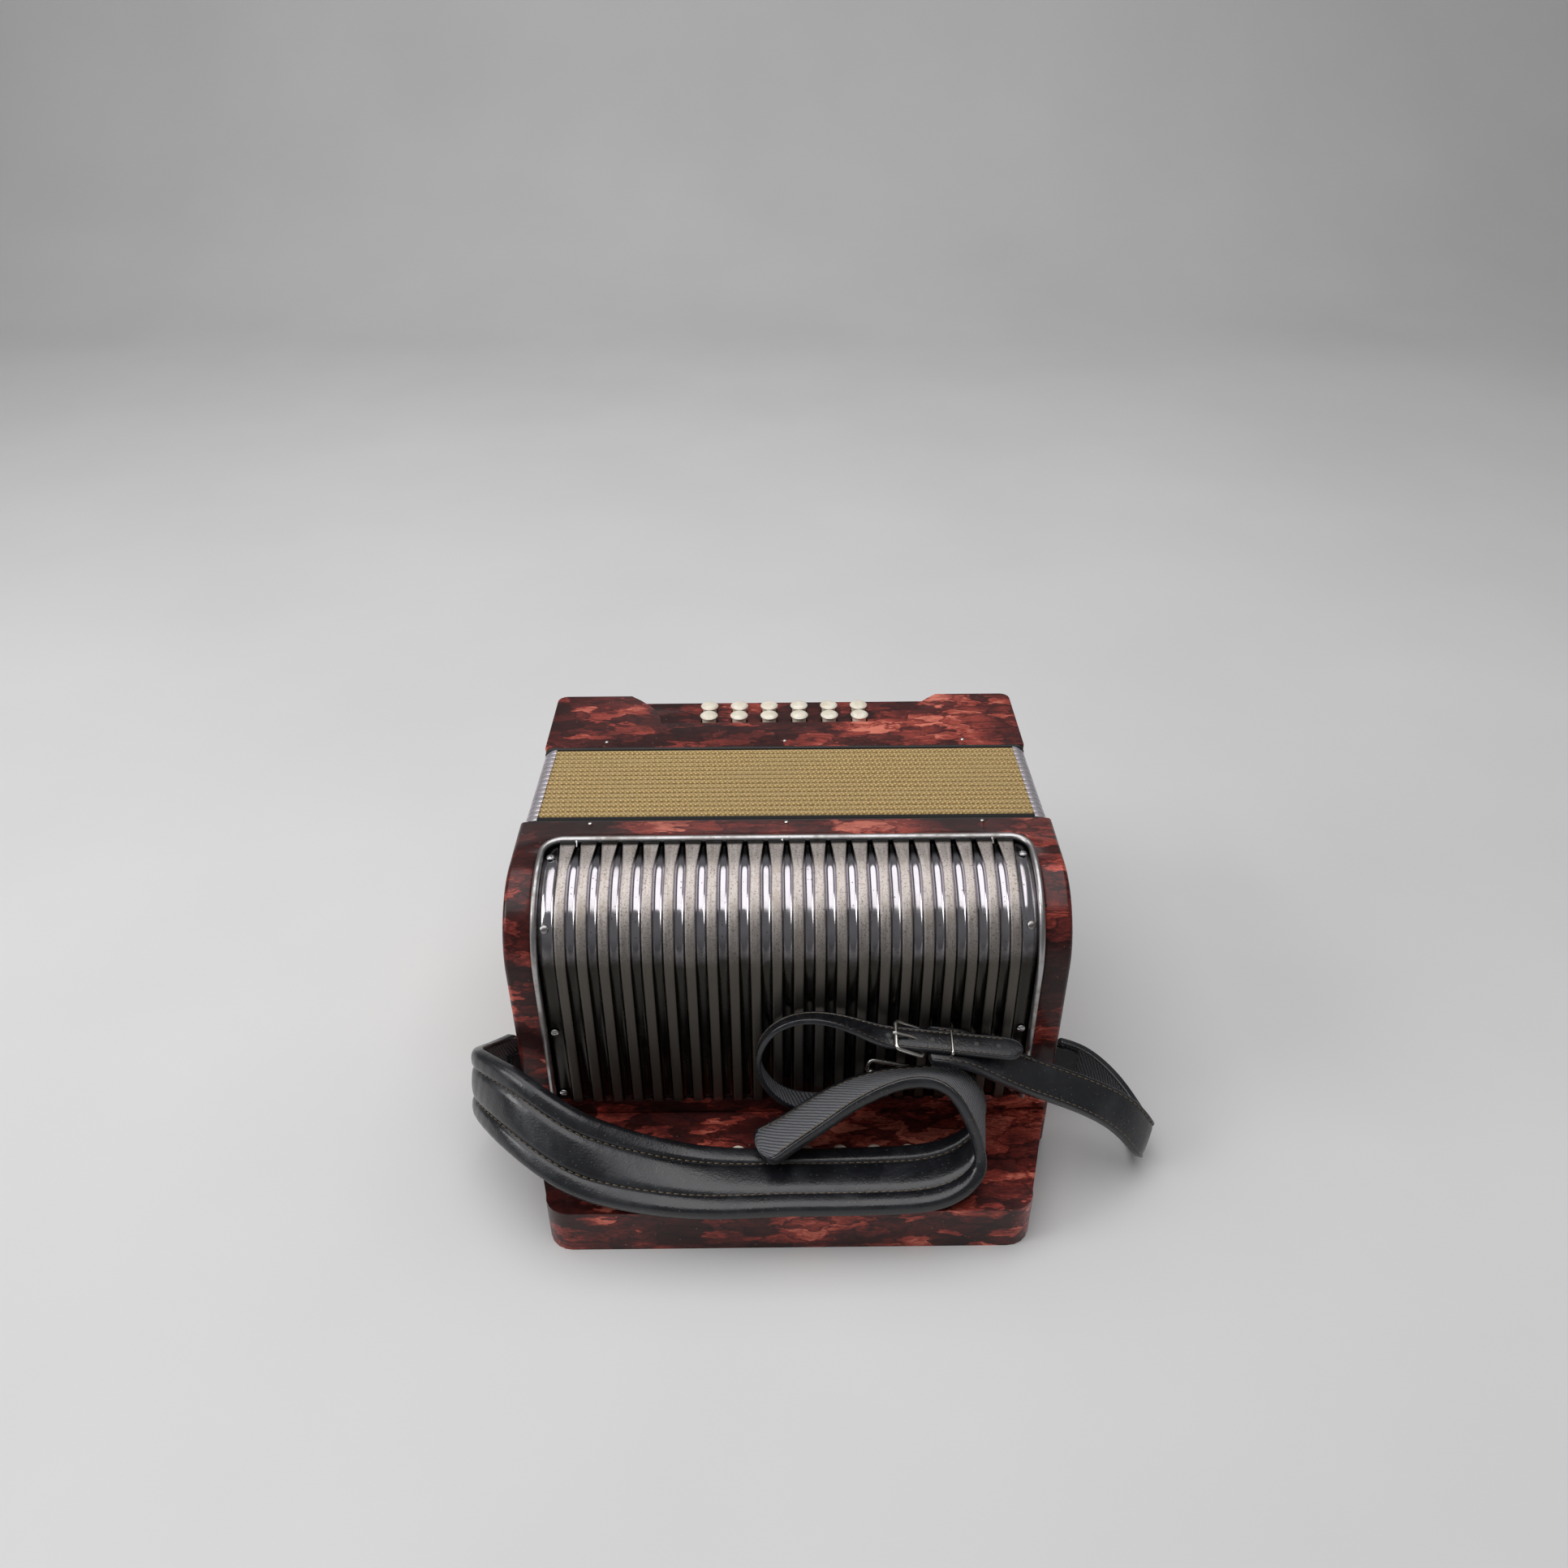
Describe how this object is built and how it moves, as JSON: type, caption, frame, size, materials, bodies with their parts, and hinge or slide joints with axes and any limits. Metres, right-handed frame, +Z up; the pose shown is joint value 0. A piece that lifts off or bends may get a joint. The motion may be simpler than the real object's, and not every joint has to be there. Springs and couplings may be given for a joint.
{
  "type": "button accordion",
  "caption": "Button accordion lying on its back: pearloid treble and bass cases, ribbed chrome grille, folding bellows, sprung treble and bass buttons, leather shoulder and hand straps.",
  "frame": {"origin": "middle of the treble case's back face, on the surface it lies on", "axes": "+X along the instrument's height when played, +Y along the bellows from treble end to bass end, +Z up, out of its front"},
  "size_m": [0.4076, 0.3505, 0.1898],
  "materials": {
    "pearloid": "polished red marbled celluloid",
    "grille_metal": "polished, chrome look, worn between the ribs",
    "button_ivory": "polished ivory-coloured plastic",
    "soundboard_wood": "bare spruce and maple",
    "frame_wood": "black-stained, matt",
    "bellows_cloth": "pleated card under woven gold cloth",
    "strap_leather": "black, semi-gloss, stitched",
    "fitting_chrome": "polished"
  },
  "bodies": {
    "treble_section": {"treble_case": "pearloid", "treble_grille": "grille_metal", "fingerboard": "pearloid", "treble_soundboard": "soundboard_wood", "treble_reed_block": "soundboard_wood", "treble_bellows_frame": "frame_wood", "bellows": "bellows_cloth", "left_shoulder_strap": "strap_leather", "right_shoulder_strap": "strap_leather", "strap_belt": "strap_leather", "strap_buckle": "fitting_chrome", "strap_ring": "fitting_chrome"},
    "bass_section": {"bass_case": "pearloid", "bass_bellows_frame": "frame_wood", "bass_soundboard": "soundboard_wood", "bass_strap": "strap_leather"},
    "treble_key_r1_01_body": {"treble_key_r1_01": "button_ivory"},
    "treble_key_r1_02_body": {"treble_key_r1_02": "button_ivory"},
    "treble_key_r1_03_body": {"treble_key_r1_03": "button_ivory"},
    "treble_key_r1_04_body": {"treble_key_r1_04": "button_ivory"},
    "treble_key_r1_05_body": {"treble_key_r1_05": "button_ivory"},
    "treble_key_r1_06_body": {"treble_key_r1_06": "button_ivory"},
    "treble_key_r1_07_body": {"treble_key_r1_07": "button_ivory"},
    "treble_key_r1_08_body": {"treble_key_r1_08": "button_ivory"},
    "treble_key_r1_09_body": {"treble_key_r1_09": "button_ivory"},
    "treble_key_r1_10_body": {"treble_key_r1_10": "button_ivory"},
    "treble_key_r2_01_body": {"treble_key_r2_01": "button_ivory"},
    "treble_key_r2_02_body": {"treble_key_r2_02": "button_ivory"},
    "treble_key_r2_03_body": {"treble_key_r2_03": "button_ivory"},
    "treble_key_r2_04_body": {"treble_key_r2_04": "button_ivory"},
    "treble_key_r2_05_body": {"treble_key_r2_05": "button_ivory"},
    "treble_key_r2_06_body": {"treble_key_r2_06": "button_ivory"},
    "treble_key_r2_07_body": {"treble_key_r2_07": "button_ivory"},
    "treble_key_r2_08_body": {"treble_key_r2_08": "button_ivory"},
    "treble_key_r2_09_body": {"treble_key_r2_09": "button_ivory"},
    "treble_key_r2_10_body": {"treble_key_r2_10": "button_ivory"},
    "treble_key_r2_11_body": {"treble_key_r2_11": "button_ivory"},
    "treble_key_r3_01_body": {"treble_key_r3_01": "button_ivory"},
    "treble_key_r3_02_body": {"treble_key_r3_02": "button_ivory"},
    "treble_key_r3_03_body": {"treble_key_r3_03": "button_ivory"},
    "treble_key_r3_04_body": {"treble_key_r3_04": "button_ivory"},
    "treble_key_r3_05_body": {"treble_key_r3_05": "button_ivory"},
    "treble_key_r3_06_body": {"treble_key_r3_06": "button_ivory"},
    "treble_key_r3_07_body": {"treble_key_r3_07": "button_ivory"},
    "treble_key_r3_08_body": {"treble_key_r3_08": "button_ivory"},
    "treble_key_r3_09_body": {"treble_key_r3_09": "button_ivory"},
    "treble_key_r3_10_body": {"treble_key_r3_10": "button_ivory"},
    "bass_button_r1_1_body": {"bass_button_r1_1": "button_ivory"},
    "bass_button_r1_2_body": {"bass_button_r1_2": "button_ivory"},
    "bass_button_r1_3_body": {"bass_button_r1_3": "button_ivory"},
    "bass_button_r1_4_body": {"bass_button_r1_4": "button_ivory"},
    "bass_button_r1_5_body": {"bass_button_r1_5": "button_ivory"},
    "bass_button_r1_6_body": {"bass_button_r1_6": "button_ivory"},
    "bass_button_r2_1_body": {"bass_button_r2_1": "button_ivory"},
    "bass_button_r2_2_body": {"bass_button_r2_2": "button_ivory"},
    "bass_button_r2_3_body": {"bass_button_r2_3": "button_ivory"},
    "bass_button_r2_4_body": {"bass_button_r2_4": "button_ivory"},
    "bass_button_r2_5_body": {"bass_button_r2_5": "button_ivory"},
    "bass_button_r2_6_body": {"bass_button_r2_6": "button_ivory"},
    "air_button_body": {"air_button": "button_ivory"}
  },
  "joints": [
    {"name": "bellows_pull", "type": "slide", "parent": "treble_section", "child": "bass_section", "axis": [0, 1, 0], "range_m": [0, 0.3], "deforming": ["bellows"]},
    {"name": "treble_key_r1_01_turn", "type": "hinge", "parent": "treble_section", "child": "treble_key_r1_01_body", "pos_m": [-0.08775, -0.03, 0.02], "axis": [1, 0, 0], "range_deg": [0, 5.09], "stiffness_Nm_per_rad": 0.12, "springref_deg": -10.89},
    {"name": "treble_key_r1_02_turn", "type": "hinge", "parent": "treble_section", "child": "treble_key_r1_02_body", "pos_m": [-0.06825, -0.03, 0.02], "axis": [1, 0, 0], "range_deg": [0, 5.09], "stiffness_Nm_per_rad": 0.12, "springref_deg": -10.89},
    {"name": "treble_key_r1_03_turn", "type": "hinge", "parent": "treble_section", "child": "treble_key_r1_03_body", "pos_m": [-0.04875, -0.03, 0.02], "axis": [1, 0, 0], "range_deg": [0, 5.09], "stiffness_Nm_per_rad": 0.12, "springref_deg": -10.89},
    {"name": "treble_key_r1_04_turn", "type": "hinge", "parent": "treble_section", "child": "treble_key_r1_04_body", "pos_m": [-0.02925, -0.03, 0.02], "axis": [1, 0, 0], "range_deg": [0, 5.09], "stiffness_Nm_per_rad": 0.12, "springref_deg": -10.89},
    {"name": "treble_key_r1_05_turn", "type": "hinge", "parent": "treble_section", "child": "treble_key_r1_05_body", "pos_m": [-0.00975, -0.03, 0.02], "axis": [1, 0, 0], "range_deg": [0, 5.09], "stiffness_Nm_per_rad": 0.12, "springref_deg": -10.89},
    {"name": "treble_key_r1_06_turn", "type": "hinge", "parent": "treble_section", "child": "treble_key_r1_06_body", "pos_m": [0.00975, -0.03, 0.02], "axis": [1, 0, 0], "range_deg": [0, 5.09], "stiffness_Nm_per_rad": 0.12, "springref_deg": -10.89},
    {"name": "treble_key_r1_07_turn", "type": "hinge", "parent": "treble_section", "child": "treble_key_r1_07_body", "pos_m": [0.02925, -0.03, 0.02], "axis": [1, 0, 0], "range_deg": [0, 5.09], "stiffness_Nm_per_rad": 0.12, "springref_deg": -10.89},
    {"name": "treble_key_r1_08_turn", "type": "hinge", "parent": "treble_section", "child": "treble_key_r1_08_body", "pos_m": [0.04875, -0.03, 0.02], "axis": [1, 0, 0], "range_deg": [0, 5.09], "stiffness_Nm_per_rad": 0.12, "springref_deg": -10.89},
    {"name": "treble_key_r1_09_turn", "type": "hinge", "parent": "treble_section", "child": "treble_key_r1_09_body", "pos_m": [0.06825, -0.03, 0.02], "axis": [1, 0, 0], "range_deg": [0, 5.09], "stiffness_Nm_per_rad": 0.12, "springref_deg": -10.89},
    {"name": "treble_key_r1_10_turn", "type": "hinge", "parent": "treble_section", "child": "treble_key_r1_10_body", "pos_m": [0.08775, -0.03, 0.02], "axis": [1, 0, 0], "range_deg": [0, 5.09], "stiffness_Nm_per_rad": 0.12, "springref_deg": -10.89},
    {"name": "treble_key_r2_01_turn", "type": "hinge", "parent": "treble_section", "child": "treble_key_r2_01_body", "pos_m": [-0.0975, -0.03, 0.02], "axis": [1, 0, 0], "range_deg": [0, 3.85], "stiffness_Nm_per_rad": 0.12, "springref_deg": -10.89},
    {"name": "treble_key_r2_02_turn", "type": "hinge", "parent": "treble_section", "child": "treble_key_r2_02_body", "pos_m": [-0.078, -0.03, 0.02], "axis": [1, 0, 0], "range_deg": [0, 3.85], "stiffness_Nm_per_rad": 0.12, "springref_deg": -10.89},
    {"name": "treble_key_r2_03_turn", "type": "hinge", "parent": "treble_section", "child": "treble_key_r2_03_body", "pos_m": [-0.0585, -0.03, 0.02], "axis": [1, 0, 0], "range_deg": [0, 3.85], "stiffness_Nm_per_rad": 0.12, "springref_deg": -10.89},
    {"name": "treble_key_r2_04_turn", "type": "hinge", "parent": "treble_section", "child": "treble_key_r2_04_body", "pos_m": [-0.039, -0.03, 0.02], "axis": [1, 0, 0], "range_deg": [0, 3.85], "stiffness_Nm_per_rad": 0.12, "springref_deg": -10.89},
    {"name": "treble_key_r2_05_turn", "type": "hinge", "parent": "treble_section", "child": "treble_key_r2_05_body", "pos_m": [-0.0195, -0.03, 0.02], "axis": [1, 0, 0], "range_deg": [0, 3.85], "stiffness_Nm_per_rad": 0.12, "springref_deg": -10.89},
    {"name": "treble_key_r2_06_turn", "type": "hinge", "parent": "treble_section", "child": "treble_key_r2_06_body", "pos_m": [0, -0.03, 0.02], "axis": [1, 0, 0], "range_deg": [0, 3.85], "stiffness_Nm_per_rad": 0.12, "springref_deg": -10.89},
    {"name": "treble_key_r2_07_turn", "type": "hinge", "parent": "treble_section", "child": "treble_key_r2_07_body", "pos_m": [0.0195, -0.03, 0.02], "axis": [1, 0, 0], "range_deg": [0, 3.85], "stiffness_Nm_per_rad": 0.12, "springref_deg": -10.89},
    {"name": "treble_key_r2_08_turn", "type": "hinge", "parent": "treble_section", "child": "treble_key_r2_08_body", "pos_m": [0.039, -0.03, 0.02], "axis": [1, 0, 0], "range_deg": [0, 3.85], "stiffness_Nm_per_rad": 0.12, "springref_deg": -10.89},
    {"name": "treble_key_r2_09_turn", "type": "hinge", "parent": "treble_section", "child": "treble_key_r2_09_body", "pos_m": [0.0585, -0.03, 0.02], "axis": [1, 0, 0], "range_deg": [0, 3.85], "stiffness_Nm_per_rad": 0.12, "springref_deg": -10.89},
    {"name": "treble_key_r2_10_turn", "type": "hinge", "parent": "treble_section", "child": "treble_key_r2_10_body", "pos_m": [0.078, -0.03, 0.02], "axis": [1, 0, 0], "range_deg": [0, 3.85], "stiffness_Nm_per_rad": 0.12, "springref_deg": -10.89},
    {"name": "treble_key_r2_11_turn", "type": "hinge", "parent": "treble_section", "child": "treble_key_r2_11_body", "pos_m": [0.0975, -0.03, 0.02], "axis": [1, 0, 0], "range_deg": [0, 3.85], "stiffness_Nm_per_rad": 0.12, "springref_deg": -10.89},
    {"name": "treble_key_r3_01_turn", "type": "hinge", "parent": "treble_section", "child": "treble_key_r3_01_body", "pos_m": [-0.08375, -0.03, 0.02], "axis": [1, 0, 0], "range_deg": [0, 3.1], "stiffness_Nm_per_rad": 0.12, "springref_deg": -10.89},
    {"name": "treble_key_r3_02_turn", "type": "hinge", "parent": "treble_section", "child": "treble_key_r3_02_body", "pos_m": [-0.06425, -0.03, 0.02], "axis": [1, 0, 0], "range_deg": [0, 3.1], "stiffness_Nm_per_rad": 0.12, "springref_deg": -10.89},
    {"name": "treble_key_r3_03_turn", "type": "hinge", "parent": "treble_section", "child": "treble_key_r3_03_body", "pos_m": [-0.04475, -0.03, 0.02], "axis": [1, 0, 0], "range_deg": [0, 3.1], "stiffness_Nm_per_rad": 0.12, "springref_deg": -10.89},
    {"name": "treble_key_r3_04_turn", "type": "hinge", "parent": "treble_section", "child": "treble_key_r3_04_body", "pos_m": [-0.02525, -0.03, 0.02], "axis": [1, 0, 0], "range_deg": [0, 3.1], "stiffness_Nm_per_rad": 0.12, "springref_deg": -10.89},
    {"name": "treble_key_r3_05_turn", "type": "hinge", "parent": "treble_section", "child": "treble_key_r3_05_body", "pos_m": [-0.00575, -0.03, 0.02], "axis": [1, 0, 0], "range_deg": [0, 3.1], "stiffness_Nm_per_rad": 0.12, "springref_deg": -10.89},
    {"name": "treble_key_r3_06_turn", "type": "hinge", "parent": "treble_section", "child": "treble_key_r3_06_body", "pos_m": [0.01375, -0.03, 0.02], "axis": [1, 0, 0], "range_deg": [0, 3.1], "stiffness_Nm_per_rad": 0.12, "springref_deg": -10.89},
    {"name": "treble_key_r3_07_turn", "type": "hinge", "parent": "treble_section", "child": "treble_key_r3_07_body", "pos_m": [0.03325, -0.03, 0.02], "axis": [1, 0, 0], "range_deg": [0, 3.1], "stiffness_Nm_per_rad": 0.12, "springref_deg": -10.89},
    {"name": "treble_key_r3_08_turn", "type": "hinge", "parent": "treble_section", "child": "treble_key_r3_08_body", "pos_m": [0.05275, -0.03, 0.02], "axis": [1, 0, 0], "range_deg": [0, 3.1], "stiffness_Nm_per_rad": 0.12, "springref_deg": -10.89},
    {"name": "treble_key_r3_09_turn", "type": "hinge", "parent": "treble_section", "child": "treble_key_r3_09_body", "pos_m": [0.07225, -0.03, 0.02], "axis": [1, 0, 0], "range_deg": [0, 3.1], "stiffness_Nm_per_rad": 0.12, "springref_deg": -10.89},
    {"name": "treble_key_r3_10_turn", "type": "hinge", "parent": "treble_section", "child": "treble_key_r3_10_body", "pos_m": [0.09175, -0.03, 0.02], "axis": [1, 0, 0], "range_deg": [0, 3.1], "stiffness_Nm_per_rad": 0.12, "springref_deg": -10.89},
    {"name": "bass_button_r1_1_press", "type": "slide", "parent": "bass_section", "child": "bass_button_r1_1_body", "axis": [0, 0, -1], "range_m": [0, 0.0035], "stiffness_N_per_m": 200, "springref_m": -0.002},
    {"name": "bass_button_r1_2_press", "type": "slide", "parent": "bass_section", "child": "bass_button_r1_2_body", "axis": [0, 0, -1], "range_m": [0, 0.0035], "stiffness_N_per_m": 200, "springref_m": -0.002},
    {"name": "bass_button_r1_3_press", "type": "slide", "parent": "bass_section", "child": "bass_button_r1_3_body", "axis": [0, 0, -1], "range_m": [0, 0.0035], "stiffness_N_per_m": 200, "springref_m": -0.002},
    {"name": "bass_button_r1_4_press", "type": "slide", "parent": "bass_section", "child": "bass_button_r1_4_body", "axis": [0, 0, -1], "range_m": [0, 0.0035], "stiffness_N_per_m": 200, "springref_m": -0.002},
    {"name": "bass_button_r1_5_press", "type": "slide", "parent": "bass_section", "child": "bass_button_r1_5_body", "axis": [0, 0, -1], "range_m": [0, 0.0035], "stiffness_N_per_m": 200, "springref_m": -0.002},
    {"name": "bass_button_r1_6_press", "type": "slide", "parent": "bass_section", "child": "bass_button_r1_6_body", "axis": [0, 0, -1], "range_m": [0, 0.0035], "stiffness_N_per_m": 200, "springref_m": -0.002},
    {"name": "bass_button_r2_1_press", "type": "slide", "parent": "bass_section", "child": "bass_button_r2_1_body", "axis": [0, 0, -1], "range_m": [0, 0.0035], "stiffness_N_per_m": 200, "springref_m": -0.002},
    {"name": "bass_button_r2_2_press", "type": "slide", "parent": "bass_section", "child": "bass_button_r2_2_body", "axis": [0, 0, -1], "range_m": [0, 0.0035], "stiffness_N_per_m": 200, "springref_m": -0.002},
    {"name": "bass_button_r2_3_press", "type": "slide", "parent": "bass_section", "child": "bass_button_r2_3_body", "axis": [0, 0, -1], "range_m": [0, 0.0035], "stiffness_N_per_m": 200, "springref_m": -0.002},
    {"name": "bass_button_r2_4_press", "type": "slide", "parent": "bass_section", "child": "bass_button_r2_4_body", "axis": [0, 0, -1], "range_m": [0, 0.0035], "stiffness_N_per_m": 200, "springref_m": -0.002},
    {"name": "bass_button_r2_5_press", "type": "slide", "parent": "bass_section", "child": "bass_button_r2_5_body", "axis": [0, 0, -1], "range_m": [0, 0.0035], "stiffness_N_per_m": 200, "springref_m": -0.002},
    {"name": "bass_button_r2_6_press", "type": "slide", "parent": "bass_section", "child": "bass_button_r2_6_body", "axis": [0, 0, -1], "range_m": [0, 0.0035], "stiffness_N_per_m": 200, "springref_m": -0.002},
    {"name": "air_button_press", "type": "slide", "parent": "bass_section", "child": "air_button_body", "axis": [0, -1, 0], "range_m": [0, 0.005], "stiffness_N_per_m": 200, "springref_m": -0.003}
  ]
}
